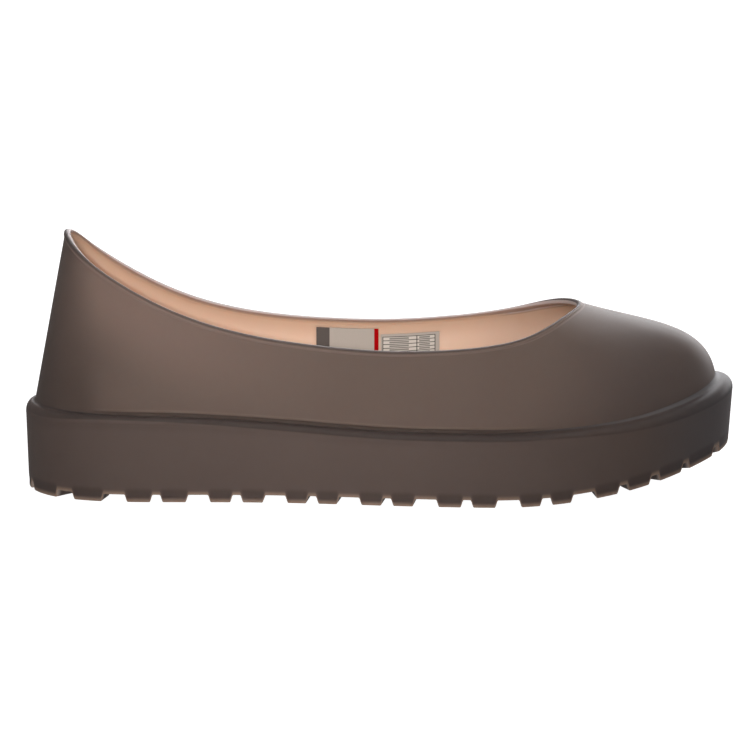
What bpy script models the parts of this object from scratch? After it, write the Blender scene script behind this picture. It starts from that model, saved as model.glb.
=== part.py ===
"""A moulded rubber overshoe for the right foot, worn over a low boot.

A thin hollow upper with a rolled collar is closed underneath by a deep lugged sole, whose rounded ledge
stands proud all round. At heel and toe a cove leads from the ledge up to the upper, and along the sides the
upper overhangs a narrow groove. Two blank labels are stuck inside it, on the inner side of the foot.

Metres, +Z up, toe towards +X, the outer (lateral) side of the foot towards -Y.
The origin is on the floor, under the middle of the overshoe's box. The sizes below are in millimetres.
"""

import math
from collections import namedtuple

import bmesh
import bpy
import numpy as np

MM = 0.001

# Overall and sole
LENGTH = 290.0
TOE_SPRING = 20.0
SPRING_START = 45.0
COVE_RISE = 0.9
FLOOR_HEIGHT = 8.0
FLOOR_FILLET = 4.0

# Upper
WALL = 2.0
SKIRT = 8.0
FIT_GAP = 0.3
OVERHANG = 0.6
OVERHANG_START = (-125.0, -105.0)
OVERHANG_END = (45.0, 75.0)
GROOVE_HEIGHT = 2.0
GROOVE_LIP = 0.4
BEAD_DEPTH = 2.2
BEAD_OUT = 0.4
BEAD_IN = 0.3
BEAD_CROWN = 0.9
BEAD_FOOT = 0.5

# Tread
LUG_DEPTH = 3.1
LUG_DRAFT = 1.35
LUG_REACH = 12.0
LUG_INSET = 0.2
LUG_EMBED = 1.5
LUG_GAP = 5.0
LUG_STEP = 4.5
BAR_COUNT = 13
BAR_FIRST = -104.0
BAR_PITCH = 17.0
BAR_WIDTH = 7.0
BAR_CLEARANCE = 19.0

# Labels
LABEL_THICKNESS = 0.4

# How finely the curved walls are divided, and the angle between faces above which an edge is sharp
SIDE_STEPS = 44
RISE_STEPS = 9
LEDGE_STEPS = 4
COVE_STEPS = 2
BEAD_STEPS = 5
CAP_STEPS = 4
LABEL_STEPS = 6
OUTLINE_SAMPLES = 400
SHARP_EDGE = math.radians(40)

OutlineRow = namedtuple("OutlineRow", "place x lateral medial")
# Half widths of the sole where it is widest, from the line through the middle of the heel
SOLE_OUTLINE = (
    OutlineRow("heel back side", -142.4, 13.5, 13.0),
    OutlineRow("heel corner", -134.0, 26.5, 25.8),
    OutlineRow("heel seat", -118.0, 35.8, 34.8),
    OutlineRow("heel front", -88.0, 39.2, 37.2),
    OutlineRow("waist", -40.0, 40.6, 36.6),
    OutlineRow("behind the ball", 0.0, 46.0, 41.6),
    OutlineRow("ball", 40.0, 50.2, 47.0),
    OutlineRow("in front of the ball", 78.0, 50.2, 48.8),
    OutlineRow("toe side", 108.0, 44.6, 45.0),
    OutlineRow("toe corner", 128.0, 33.6, 35.9),
    OutlineRow("toe front side", 140.4, 21.0, 20.6),
)
HEEL_BACK = (-LENGTH / 2, 0.0)
TOE_TIP = (LENGTH / 2, 0.0)

SideRow = namedtuple("SideRow", "place start end crest tall wide seat draft")
# The sole's side along the shoe. The sizes turn into each row's own between x = start and x = end: the height
# of the ledge's crest above the tread, how tall and wide the ledge is up to there, how deep behind its edge
# the upper is seated, and how far the wall below draws in.
SOLE_SIDE = (
    SideRow("heel back", -LENGTH / 2, -LENGTH / 2, 35.6, 4.2, 2.9, 3.5, 0.9),
    SideRow("heel side", -145.0, -110.0, 35.1, 2.0, 3.4, 3.9, 1.2),
    SideRow("ball", -100.0, 20.0, 29.8, 2.1, 4.5, 5.2, 1.5),
    SideRow("toe", 65.0, 140.0, 25.6, 3.8, 4.5, 6.6, 1.4),
)

CollarRow = namedtuple("CollarRow", "place share x half middle z swell_base swell_top rise reach")
# The collar's edge and the wall that climbs to it. share is the way from heel to toe along the sole's side,
# half the half width to either side of middle, swell how far the wall's ends turn off its chord in degrees,
# outwards at the base and inwards at the top, and rise and reach the lengths of those turns as shares of it.
COLLAR = (
    CollarRow("heel peak", 0.0, -128.1, 0.0, 0.0, 106.0, 0, 0, 0.33, 0.33),
    CollarRow("peak side", 0.068, -123.7, 16.8, 0.0, 101.6, 1, 1, 0.33, 0.33),
    CollarRow("heel curve", 0.122, -114.0, 22.8, -0.2, 93.8, 2, 2, 0.33, 0.33),
    CollarRow("counter", 0.205, -88.0, 25.4, -0.8, 78.9, 2, 2, 0.33, 0.33),
    CollarRow("quarter", 0.306, -53.0, 29.0, -1.4, 68.0, 2, 3, 0.33, 0.33),
    CollarRow("waist", 0.410, -16.0, 34.6, -1.5, 63.5, 3, 4, 0.33, 0.33),
    CollarRow("low point", 0.480, 8.0, 37.8, -1.2, 62.6, 3, 5, 0.33, 0.33),
    CollarRow("vamp", 0.570, 40.0, 40.2, -0.2, 64.4, 4, 8, 0.33, 0.35),
    CollarRow("throat corner", 0.700, 63.5, 35.0, 1.0, 69.4, 20, 15, 0.32, 0.38),
    CollarRow("throat side", 0.840, 75.0, 20.5, 1.6, 73.6, 38, 15, 0.35, 0.43),
    CollarRow("throat", 1.0, 81.5, 0.0, 2.0, 75.2, 54.5, 9, 0.365, 0.43),
)

LugRow = namedtuple("LugRow", "place start width count")
# Lugs of one side as distances along the sole's edge from the middle of the heel, where LUG_SIDE is the toe;
# rows of two are pairs
LUGS = (
    LugRow("heel corner", 14.2, 16.7, 1),
    LugRow("heel side", 40.3, 12.0, 1),
    LugRow("heel pair", 62.9, 9.3, 2),
    LugRow("first pair", 96.3, 7.9, 2),
    LugRow("second pair", 127.0, 7.3, 2),
    LugRow("third pair", 156.6, 7.8, 2),
    LugRow("fourth pair", 187.6, 8.8, 2),
    LugRow("fifth pair", 220.7, 7.4, 2),
    LugRow("sixth pair", 250.9, 8.5, 2),
    LugRow("toe corner", 278.1, 9.8, 1),
    LugRow("toe side", 292.4, 12.6, 1),
    LugRow("toe front", 310.6, 12.8, 1),
)
LUG_SIDE = 332.3
HEEL_LUG_WIDTH = 18.0
TOE_LUG_WIDTH = 10.4

LabelRow = namedtuple("LabelRow", "name x_from x_to drop height")
# Labels inside the medial wall: between two places along the shoe, hung that far below the collar's edge
LABELS = (
    LabelRow("label_plain", -26.3, -0.6, 4.2, 18.0),
    LabelRow("label_chart", 0.4, 24.8, 6.8, 16.0),
)
LABEL_SHARES = (0.3, 0.65)

Finish = namedtuple("Finish", "color roughness")
UPPER_FINISH = Finish((0.160, 0.118, 0.094), 0.55)
SOLE_FINISH = Finish((0.100, 0.076, 0.066), 0.55)
LABEL_FINISH = Finish((0.62, 0.60, 0.57), 0.6)


def smooth_step(x, start, end):
    """0 before start, 1 after end, with a smooth turn at both."""
    part = np.clip((x - start) / (end - start), 0, 1)
    return part * part * (3 - 2 * part)


def closed_spline(knots, period, values, at):
    """Values at the places `at` on the smooth closed cubic that has `values` at `knots`."""
    knots = np.asarray(knots, float)
    values = np.asarray(values, float)
    count = len(knots)
    gaps = np.diff(np.append(knots, knots[0] + period))
    slopes = (np.roll(values, -1, axis=0) - values) / gaps[:, None]
    system = np.zeros((count, count))
    for i in range(count):
        system[i, i - 1] += gaps[i - 1]
        system[i, i] += 2 * (gaps[i - 1] + gaps[i])
        system[i, (i + 1) % count] += gaps[i]
    bends = np.linalg.solve(system, 6 * (slopes - np.roll(slopes, 1, axis=0)))
    at = (np.asarray(at, float) - knots[0]) % period + knots[0]
    span = np.searchsorted(knots, at, side="right") - 1
    after = (span + 1) % count
    gap = gaps[span][:, None]
    far = (at - knots[span])[:, None] / gap
    near = 1 - far
    bent = (near**3 - near) * bends[span] + (far**3 - far) * bends[after]
    return near * values[span] + far * values[after] + bent * gap**2 / 6


def both_sides(rows, lateral, medial, heel, toe):
    """Rows turned into points round the shoe: heel, lateral side, toe, and back along the medial side."""
    there = [lateral(row) for row in rows]
    back = [medial(row) for row in reversed(rows)]
    return np.array([heel, *there, toe, *back], float)


def sole_outline():
    """x and y of the sole's widest outline by `turn`: 0 at the heel, 1 at the toe, 2 at the heel again."""
    points = both_sides(
        SOLE_OUTLINE,
        lambda row: (row.x, -row.lateral),
        lambda row: (row.x, row.medial),
        HEEL_BACK,
        TOE_TIP,
    )
    steps = np.linalg.norm(np.roll(points, -1, axis=0) - points, axis=1)
    knots = np.concatenate([[0], np.cumsum(steps)[:-1]])
    period = steps.sum()
    toe_knot = knots[len(SOLE_OUTLINE) + 1]
    halves = []
    for start, end in ((0, toe_knot), (toe_knot, period)):
        places = np.linspace(start, end, OUTLINE_SAMPLES)
        line = closed_spline(knots, period, points, places)
        run = np.concatenate([[0], np.cumsum(np.linalg.norm(np.diff(line, axis=0), axis=1))])
        halves.append((run / run[-1], line))
    turns = np.concatenate([halves[0][0], 1 + halves[1][0][1:]])
    line = np.concatenate([halves[0][1], halves[1][1][1:]])
    middle = (line.min(axis=0) + line.max(axis=0)) / 2
    return turns, line - middle, middle


OUTLINE_TURNS, OUTLINE_LINE, OUTLINE_MIDDLE = sole_outline()


def outline_at(turns):
    turns = np.asarray(turns, float) % 2
    return np.stack([np.interp(turns, OUTLINE_TURNS, OUTLINE_LINE[:, k]) for k in (0, 1)], axis=-1)


def outward_at(turns):
    """Level unit vectors that point out of the outline."""
    turns = np.asarray(turns, float)
    step = 4 / OUTLINE_SAMPLES
    along = outline_at(turns + step) - outline_at(turns - step)
    along /= np.linalg.norm(along, axis=-1, keepdims=True)
    return np.stack([along[..., 1], -along[..., 0]], axis=-1)


def inset_at(turns, depth):
    """The outline drawn in by depth, which may differ from place to place."""
    depth = np.broadcast_to(np.asarray(depth, float), np.shape(turns))
    return outline_at(turns) - outward_at(turns) * depth[..., None]


def floor_line(x):
    """Height of the tread's underside: flat under heel and ball, then the toe spring."""
    part = np.clip((np.asarray(x, float) - SPRING_START) / (LENGTH / 2 - SPRING_START), 0, None)
    return TOE_SPRING * part**2


def side_size(turns, column):
    """One of the sizes of the sole's side, which turns smoothly from row to row along the shoe."""
    x = outline_at(turns)[..., 0]
    size = np.full(np.shape(x), getattr(SOLE_SIDE[0], column))
    for before, row in zip(SOLE_SIDE, SOLE_SIDE[1:]):
        size += smooth_step(x, row.start, row.end) * (getattr(row, column) - getattr(before, column))
    return size


def rim_height(turns):
    """Height of the ledge's crest, above which the upper leaves the sole."""
    return floor_line(outline_at(turns)[..., 0]) + side_size(turns, "crest")


def overhang_at(turns):
    """How far the upper's wall stands out over the groove above the ledge; none at heel and toe."""
    x = outline_at(turns)[..., 0]
    return OVERHANG * (smooth_step(x, *OVERHANG_START) - smooth_step(x, *OVERHANG_END))


def ring(turns, depth, height):
    """One level loop of the sole: the outline drawn in by depth, at those heights."""
    flat = inset_at(turns, depth)
    return np.column_stack([flat, np.broadcast_to(height, len(turns))])


def mesh_object(name, points, faces, finish):
    """An object from points in millimetres, with its faces turned outwards."""
    mesh = bpy.data.meshes.new(name)
    mesh.from_pydata([tuple(point) for point in np.asarray(points) * MM], [], faces)
    shaped = bmesh.new()
    shaped.from_mesh(mesh)
    bmesh.ops.recalc_face_normals(shaped, faces=shaped.faces)
    shaped.to_mesh(mesh)
    shaped.free()
    mesh.shade_smooth()
    mesh.set_sharp_from_angle(angle=SHARP_EDGE)
    obj = bpy.data.objects.new(name, mesh)
    bpy.context.scene.collection.objects.link(obj)
    material = bpy.data.materials.new(name)
    material.use_nodes = True
    shader = material.node_tree.nodes["Principled BSDF"]
    shader.inputs["Base Color"].default_value = (*finish.color, 1)
    shader.inputs["Roughness"].default_value = finish.roughness
    mesh.materials.append(material)
    return obj


def skin(rings, closed):
    """Points and quads of a surface through rings of equal length; closed joins the last to the first."""
    count = len(rings[0])
    faces = []
    pairs = len(rings) if closed else len(rings) - 1
    for level in range(pairs):
        low = level * count
        high = (level + 1) % len(rings) * count
        for i in range(count):
            j = (i + 1) % count
            faces.append((low + i, low + j, high + j, high + i))
    return np.concatenate(rings), faces


def cap(points, faces, first, count, height_of):
    """Closes a ring that starts at point `first` with strips from the lateral to the medial side."""
    half = count // 2
    rows = []
    for k in range(1, half):
        left, right = first + k, first + count - k
        row = [left]
        for step in range(1, CAP_STEPS):
            point = points[left] + (points[right] - points[left]) * step / CAP_STEPS
            point[2] = height_of(point[0])
            row.append(len(points))
            points = np.vstack([points, point])
        rows.append([*row, right])
    for a, b in zip(rows, rows[1:]):
        for i in range(CAP_STEPS):
            faces.append((a[i], a[i + 1], b[i + 1], b[i]))
    for i in range(CAP_STEPS):
        faces.append((first, rows[0][i], rows[0][i + 1]))
        faces.append((first + half, rows[-1][i], rows[-1][i + 1]))
    return points, faces


def sole_rings(turns):
    """The sole's section, ring by ring: up its outside, over the ledge and its cove, down to the floor."""
    ground = floor_line(outline_at(turns)[:, 0])
    rim = rim_height(turns)
    tall, wide, seat, draft = (side_size(turns, column) for column in ("tall", "wide", "seat", "draft"))
    cove = COVE_RISE * (1 - overhang_at(turns) / OVERHANG)
    cavity = seat + FIT_GAP + WALL
    rings = [ring(turns, draft, ground + LUG_DEPTH), ring(turns, 0, rim - tall)]
    for step in range(1, LEDGE_STEPS + 1):
        angle = math.pi / 2 * step / LEDGE_STEPS
        rings.append(ring(turns, wide * (1 - math.cos(angle)), rim - tall * (1 - math.sin(angle))))
    for step in range(1, COVE_STEPS + 1):
        share = step / COVE_STEPS
        rings.append(ring(turns, wide + (seat - wide) * share, rim + cove * share**2))
    rings.append(ring(turns, seat, rim - SKIRT))
    rings.append(ring(turns, cavity, rim - SKIRT))
    rings.append(ring(turns, cavity, ground + FLOOR_HEIGHT + FLOOR_FILLET))
    rings.append(ring(turns, cavity + FLOOR_FILLET, ground + FLOOR_HEIGHT))
    return rings


def block(points, faces, slices):
    """Adds a tread block swept through slices of four corners each, closed at both ends."""
    first = len(points)
    for corners in slices:
        points.extend(corners)
    last = first + 4 * (len(slices) - 1)
    for low in range(first, last, 4):
        for i in range(4):
            j = (i + 1) % 4
            faces.append((low + i, low + j, low + 4 + j, low + 4 + i))
    faces.append(tuple(range(first, first + 4)))
    faces.append(tuple(range(last, last + 4)))


def edge_lug(points, faces, start, end):
    """A lug on the sole's edge between two distances along its lateral side; past the toe is medial."""
    steps = math.ceil((end - start) / LUG_STEP)
    places = np.linspace(0, 1, steps + 1)
    corners = []
    for reach, depth, lift in (
        (LUG_DRAFT, LUG_INSET, LUG_DEPTH + LUG_EMBED),
        (LUG_DRAFT, LUG_REACH + LUG_DRAFT, LUG_DEPTH + LUG_EMBED),
        (0, LUG_REACH, 0),
        (0, LUG_INSET, 0),
    ):
        turns = (start - reach + (end - start + 2 * reach) * places) / LUG_SIDE
        flat = inset_at(turns, side_size(turns, "draft") + depth)
        corners.append(np.column_stack([flat, floor_line(flat[:, 0]) + lift]))
    block(points, faces, np.stack(corners, axis=1))


def cross_bar(points, faces, x):
    """A bar across the middle of the tread, clear of the lugs on the edge."""
    lateral, medial = (side_width(x, side) for side in (-1, 1))
    ends = np.array([lateral + BAR_CLEARANCE, medial - BAR_CLEARANCE])
    slices = []
    for end, side in zip(ends, (1, -1)):
        corners = []
        for place, drawn_in, lift in (
            (-1, 0, LUG_DEPTH + LUG_EMBED),
            (1, 0, LUG_DEPTH + LUG_EMBED),
            (1, LUG_DRAFT, 0),
            (-1, LUG_DRAFT, 0),
        ):
            at = x + place * (BAR_WIDTH / 2 + LUG_DRAFT - drawn_in)
            corners.append((at, end + side * drawn_in, floor_line(at) + lift))
        slices.append(corners)
    block(points, faces, slices)


def side_width(x, side):
    """y of the outline on one side (-1 lateral, 1 medial) at that x."""
    turns = np.linspace(0, 1, OUTLINE_SAMPLES) if side < 0 else np.linspace(2, 1, OUTLINE_SAMPLES)
    line = outline_at(turns)
    return float(np.interp(x, line[:-1, 0], line[:-1, 1]))


def make_tread():
    """All the blocks of the tread as one helper, which is joined to the sole."""
    points, faces = [], []
    edge_lug(points, faces, -HEEL_LUG_WIDTH / 2, HEEL_LUG_WIDTH / 2)
    edge_lug(points, faces, LUG_SIDE - TOE_LUG_WIDTH / 2, LUG_SIDE + TOE_LUG_WIDTH / 2)
    for row in LUGS:
        for k in range(row.count):
            start = row.start + k * (row.width + LUG_GAP)
            edge_lug(points, faces, start, start + row.width)
            edge_lug(points, faces, 2 * LUG_SIDE - start - row.width, 2 * LUG_SIDE - start)
    for k in range(BAR_COUNT):
        cross_bar(points, faces, BAR_FIRST + k * BAR_PITCH)
    tread = mesh_object("tread_blocks", points, faces, SOLE_FINISH)
    tread.hide_render = True
    tread.display_type = "WIRE"
    return tread


def make_sole():
    turns = np.arange(2 * SIDE_STEPS) / SIDE_STEPS
    rings = sole_rings(turns)
    count = len(turns)
    points, faces = skin(rings, closed=False)
    points, faces = cap(points, faces, 0, count, lambda x: floor_line(x) + LUG_DEPTH)
    inside = count * (len(rings) - 1)
    points, faces = cap(points, faces, inside, count, lambda x: floor_line(x) + FLOOR_HEIGHT)
    sole = mesh_object("sole", points, faces, SOLE_FINISH)
    join = sole.modifiers.new("tread", "BOOLEAN")
    join.operation = "UNION"
    join.object = make_tread()
    return sole


def collar_table():
    """Knots and columns of the collar rows on both sides: x, y, z, swells, rise and reach."""
    first, last = COLLAR[0], COLLAR[-1]
    sides = COLLAR[1:-1]

    def entry(row, side):
        y = side * row.half + row.middle - OUTLINE_MIDDLE[1]
        return (row.x, y, row.z, row.swell_base, row.swell_top, row.rise, row.reach)

    values = both_sides(
        sides, lambda row: entry(row, -1), lambda row: entry(row, 1), entry(first, 0), entry(last, 0)
    )
    shares = [row.share for row in COLLAR]
    knots = [*shares, *(2 - share for share in reversed(shares[1:-1]))]
    return np.array(knots), values


COLLAR_KNOTS, COLLAR_VALUES = collar_table()


def upper_base(turns):
    """Foot of the upper's outer face, over its seat in the sole."""
    depth = side_size(turns, "seat") + FIT_GAP - overhang_at(turns)
    return np.column_stack([inset_at(turns, depth), rim_height(turns)])


def upper_outer(turns, rises):
    """Points of the upper's outer face: rises run from 0 at the crease to 1 at the collar's edge."""
    turns = np.asarray(turns, float)
    rises = np.asarray(rises, float)[:, None]
    base = upper_base(turns)
    row = closed_spline(COLLAR_KNOTS, 2, COLLAR_VALUES, turns)
    top = row[:, :3]
    chord = top - base
    length = np.linalg.norm(chord, axis=1, keepdims=True)
    level = chord[:, :2] / np.linalg.norm(chord[:, :2], axis=1, keepdims=True)
    slope = np.arctan2(chord[:, 2], np.linalg.norm(chord[:, :2], axis=1))
    leave = slope + np.radians(row[:, 3])
    arrive = slope - np.radians(row[:, 4])
    leaving = np.column_stack([level * np.cos(leave)[:, None], np.sin(leave)])
    arriving = np.column_stack([level * np.cos(arrive)[:, None], np.sin(arrive)])
    lift = base + leaving * length * row[:, 5:6]
    draw = top - arriving * length * row[:, 6:7]
    stay = 1 - rises
    return stay**3 * base + 3 * stay**2 * rises * lift + 3 * stay * rises**2 * draw + rises**3 * top


def upper_frame(turns, rises):
    """Point, unit normal outwards and unit direction up the wall, on the upper's outer face."""
    step = 1e-3
    turns = np.asarray(turns, float)
    rises = np.broadcast_to(np.asarray(rises, float), np.shape(turns))
    point = upper_outer(turns, rises)
    round_it = upper_outer(turns + step, rises) - upper_outer(turns - step, rises)
    up_it = upper_outer(turns, rises + step) - upper_outer(turns, rises - step)
    normal = np.cross(round_it, up_it)
    normal /= np.linalg.norm(normal, axis=1, keepdims=True)
    up_it /= np.linalg.norm(up_it, axis=1, keepdims=True)
    return point, normal, up_it


def wall_length(turns):
    """Length of the upper's wall from crease to collar."""
    levels = np.linspace(0, 1, 2 * RISE_STEPS)
    line = np.array([upper_outer(turns, np.full(len(turns), level)) for level in levels])
    return np.linalg.norm(np.diff(line, axis=0), axis=2).sum(axis=0)


def bead_profile():
    """The rolled collar's section as (out of the wall, up the wall), from its outer to its inner foot."""
    half = (WALL + BEAD_OUT + BEAD_IN) / 2
    middle = BEAD_OUT - half
    shoulder = BEAD_FOOT - BEAD_DEPTH
    profile = [(BEAD_OUT, shoulder)]
    for step in range(BEAD_STEPS + 1):
        angle = math.pi * step / BEAD_STEPS
        profile.append((middle + half * math.cos(angle), BEAD_CROWN * (math.sin(angle) - 1)))
    profile.append((BEAD_OUT - 2 * half, shoulder))
    return profile


def make_upper():
    turns = np.arange(2 * SIDE_STEPS) / SIDE_STEPS
    tall = wall_length(turns)
    overhang = overhang_at(turns)[:, None]
    outer, inner = [], []
    for climb in (0, GROOVE_HEIGHT - GROOVE_LIP):
        point, normal, _ = upper_frame(turns, climb / tall)
        outer.append(point - normal * overhang)
    low_share = GROOVE_HEIGHT / tall
    top_share = 1 - BEAD_DEPTH / tall
    for step in range(RISE_STEPS + 1):
        point, normal, _ = upper_frame(turns, low_share + (top_share - low_share) * step / RISE_STEPS)
        outer.append(point)
        inner.append(point - normal * WALL)
    point, normal, upward = upper_frame(turns, np.ones(len(turns)))
    bead = [point + normal * out + upward * up for out, up in bead_profile()]
    foot = rim_height(turns) - SKIRT + FIT_GAP
    seat = side_size(turns, "seat") + FIT_GAP
    skirt_outer = ring(turns, seat, foot)
    skirt_inner = ring(turns, seat + WALL, foot)
    rings = [skirt_outer, *outer, *bead, *reversed(inner), skirt_inner]
    return mesh_object("upper", *skin(rings, closed=True), UPPER_FINISH)


def label_line(row, drop, depth):
    """One level line of a label, that far down the wall from the collar and deep behind its outer face."""
    turns = 2 - np.linspace(*LABEL_SHARES, OUTLINE_SAMPLES)
    rises = 1 - drop / wall_length(turns)
    along = upper_outer(turns, rises)[:, 0]
    places = np.linspace(row.x_from, row.x_to, LABEL_STEPS + 1)
    point, normal, _ = upper_frame(np.interp(places, along, turns), np.interp(places, along, rises))
    return point - normal * depth


def make_label(row):
    """A thin label on the inner wall, on the medial side, hung below the collar."""
    lines = []
    for depth in (WALL + FIT_GAP, WALL + FIT_GAP + LABEL_THICKNESS):
        for step in range(LABEL_STEPS + 1):
            lines.append(label_line(row, row.drop + row.height * step / LABEL_STEPS, depth))
    side = LABEL_STEPS + 1
    points = np.concatenate(lines)
    faces = []
    for sheet in (0, side * side):
        for i in range(LABEL_STEPS):
            for j in range(LABEL_STEPS):
                a = sheet + i * side + j
                faces.append((a, a + 1, a + side + 1, a + side))
    rim = [*range(side), *(k * side - 1 for k in range(2, side + 1))]
    rim += [*range(side * side - 2, side * (side - 1) - 1, -1), *range(side * (side - 2), 0, -side)]
    for a, b in zip(rim, rim[1:] + rim[:1]):
        faces.append((a, b, b + side * side, a + side * side))
    return mesh_object(row.name, points, faces, LABEL_FINISH)


def main():
    for obj in list(bpy.data.objects):
        bpy.data.objects.remove(obj)
    make_sole()
    make_upper()
    for row in LABELS:
        make_label(row)


main()
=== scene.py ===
"""Looks of a moulded rubber overshoe for the right foot: fine skins, materials and light.

Metres in Blender, +Z up, toe towards +X, the outer (lateral) side of the foot towards -Y.
Sizes are in millimetres unless said otherwise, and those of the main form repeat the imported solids.
"""

import math
from collections import namedtuple

import bmesh
import bpy
import numpy as np
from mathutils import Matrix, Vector


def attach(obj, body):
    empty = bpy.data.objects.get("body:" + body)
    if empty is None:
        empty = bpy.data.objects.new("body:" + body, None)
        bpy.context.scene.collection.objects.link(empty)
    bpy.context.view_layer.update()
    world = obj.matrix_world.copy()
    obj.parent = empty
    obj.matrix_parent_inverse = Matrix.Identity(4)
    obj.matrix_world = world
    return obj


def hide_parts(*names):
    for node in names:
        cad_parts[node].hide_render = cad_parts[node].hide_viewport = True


MM = 0.001

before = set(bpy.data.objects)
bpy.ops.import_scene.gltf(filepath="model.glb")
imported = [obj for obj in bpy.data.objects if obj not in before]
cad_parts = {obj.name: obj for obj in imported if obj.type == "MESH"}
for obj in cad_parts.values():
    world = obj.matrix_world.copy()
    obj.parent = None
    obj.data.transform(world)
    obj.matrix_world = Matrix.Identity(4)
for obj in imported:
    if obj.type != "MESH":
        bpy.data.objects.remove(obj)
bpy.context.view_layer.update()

# Overall and sole, as in the solids
LENGTH = 290.0
TOE_SPRING = 20.0
SPRING_START = 45.0
FLOOR_HEIGHT = 8.0
FLOOR_FILLET = 4.0

# Upper, as in the solids
WALL = 2.0
SKIRT = 8.0
FIT_GAP = 0.3
OVERHANG = 0.6
OVERHANG_START = (-125.0, -105.0)
OVERHANG_END = (45.0, 75.0)
GROOVE_HEIGHT = 2.0
GROOVE_LIP = 0.4
BEAD_DEPTH = 2.2
BEAD_OUT = 0.4
BEAD_IN = 0.3
BEAD_CROWN = 0.9
BEAD_FOOT = 0.5

# Tread, as in the solids
LUG_DEPTH = 3.1
LUG_DRAFT = 1.35
LUG_REACH = 12.0
LUG_INSET = 0.2
LUG_EMBED = 1.5
LUG_GAP = 5.0
BAR_COUNT = 13
BAR_FIRST = -104.0
BAR_PITCH = 17.0
BAR_WIDTH = 7.0
BAR_CLEARANCE = 19.0
LABEL_THICKNESS = 0.4

# What the skins add: softened corners, the closed seam and full cove, the hem, the line under the ledge
LUG_SLOPE = LUG_DRAFT * LUG_DEPTH / (LUG_DEPTH + LUG_EMBED)
LUG_SOFT = 0.3
INSET_FADE = (LUG_DEPTH - 1.0, LUG_DEPTH + 2.0)
EDGE_SOFT = 0.45
EDGE_TURNS = (math.radians(30), math.radians(60))
TREAD_MARGIN = 0.1
MIDDLE_INSET = 17.4
MIDDLE_MARGIN = 0.6
SEAM_GAP = 0.02
COVE_RISE = 1.9
COVE_SINK = 0.4
HEM_SIDE = 1.4
HEM_THROAT = 2.8
HEM_TURN = (40.0, 75.0)
HEM_SOFT = 0.5
LINE_PROUD = 0.08
LINE_HEIGHT = 0.9
LINE_ENDS = 0.4

# How finely the skins are divided, and the angle between faces above which an edge is sharp
OUTLINE_SAMPLES = 4000
OUTWARD_STEP = 8 / OUTLINE_SAMPLES
FRAME_STEP = 1e-3
UPPER_SIDE_STEPS = 200
UPPER_RISE_STEPS = 34
BEAD_STEPS = 14
LEDGE_STEPS = 12
FILLET_STEPS = 5
LIP_STEPS = 5
COVE_STEPS = 7
CAP_STEPS = 6
PLACE_STEP = 2.4
PLACE_DIGITS = 4
REACH_STEPS = 4
LOW_RISES = (0.45, 0.8, 1.3, 2.0, 2.9, 4.0, 5.5, 7.5)
WALL_STEPS = 9
LINE_STEPS = 4
BAR_SHARES = (0.25, 0.5, 0.75)
LABEL_STEPS = 24
LABEL_SAMPLES = 1000
UPPER_SHARP = math.radians(60)
SOLE_SHARP = math.radians(50)
LABEL_SHARP = math.radians(40)

# Values kept with the points of the skins, for their paints
UPPER_MARKS = ("inside", "bead", "over", "climb", "fall", "step")
SOLE_MARKS = ("inside", "rise", "below", "lug", "deep", "cove")
LABEL_MARKS = ("across", "down")

OutlineRow = namedtuple("OutlineRow", "place x lateral medial")
# Half widths of the sole where it is widest, from the line through the middle of the heel
SOLE_OUTLINE = (
    OutlineRow("heel back side", -142.4, 13.5, 13.0),
    OutlineRow("heel corner", -134.0, 26.5, 25.8),
    OutlineRow("heel seat", -118.0, 35.8, 34.8),
    OutlineRow("heel front", -88.0, 39.2, 37.2),
    OutlineRow("waist", -40.0, 40.6, 36.6),
    OutlineRow("behind the ball", 0.0, 46.0, 41.6),
    OutlineRow("ball", 40.0, 50.2, 47.0),
    OutlineRow("in front of the ball", 78.0, 50.2, 48.8),
    OutlineRow("toe side", 108.0, 44.6, 45.0),
    OutlineRow("toe corner", 128.0, 33.6, 35.9),
    OutlineRow("toe front side", 140.4, 21.0, 20.6),
)
HEEL_BACK = (-LENGTH / 2, 0.0)
TOE_TIP = (LENGTH / 2, 0.0)

SideRow = namedtuple("SideRow", "place start end crest tall wide seat draft")
# The sole's side along the shoe. The sizes turn into each row's own between x = start and x = end: the
# height of the ledge's crest above the tread, how tall and wide the ledge is up to there, how deep behind
# its edge the upper is seated, and how far the wall below draws in.
SOLE_SIDE = (
    SideRow("heel back", -LENGTH / 2, -LENGTH / 2, 35.6, 4.2, 2.9, 3.5, 0.9),
    SideRow("heel side", -145.0, -110.0, 35.1, 2.0, 3.4, 3.9, 1.2),
    SideRow("ball", -100.0, 20.0, 29.8, 2.1, 4.5, 5.2, 1.5),
    SideRow("toe", 65.0, 140.0, 25.6, 3.8, 4.5, 6.6, 1.4),
)

CollarRow = namedtuple("CollarRow", "place share x half middle z swell_base swell_top rise reach")
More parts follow.
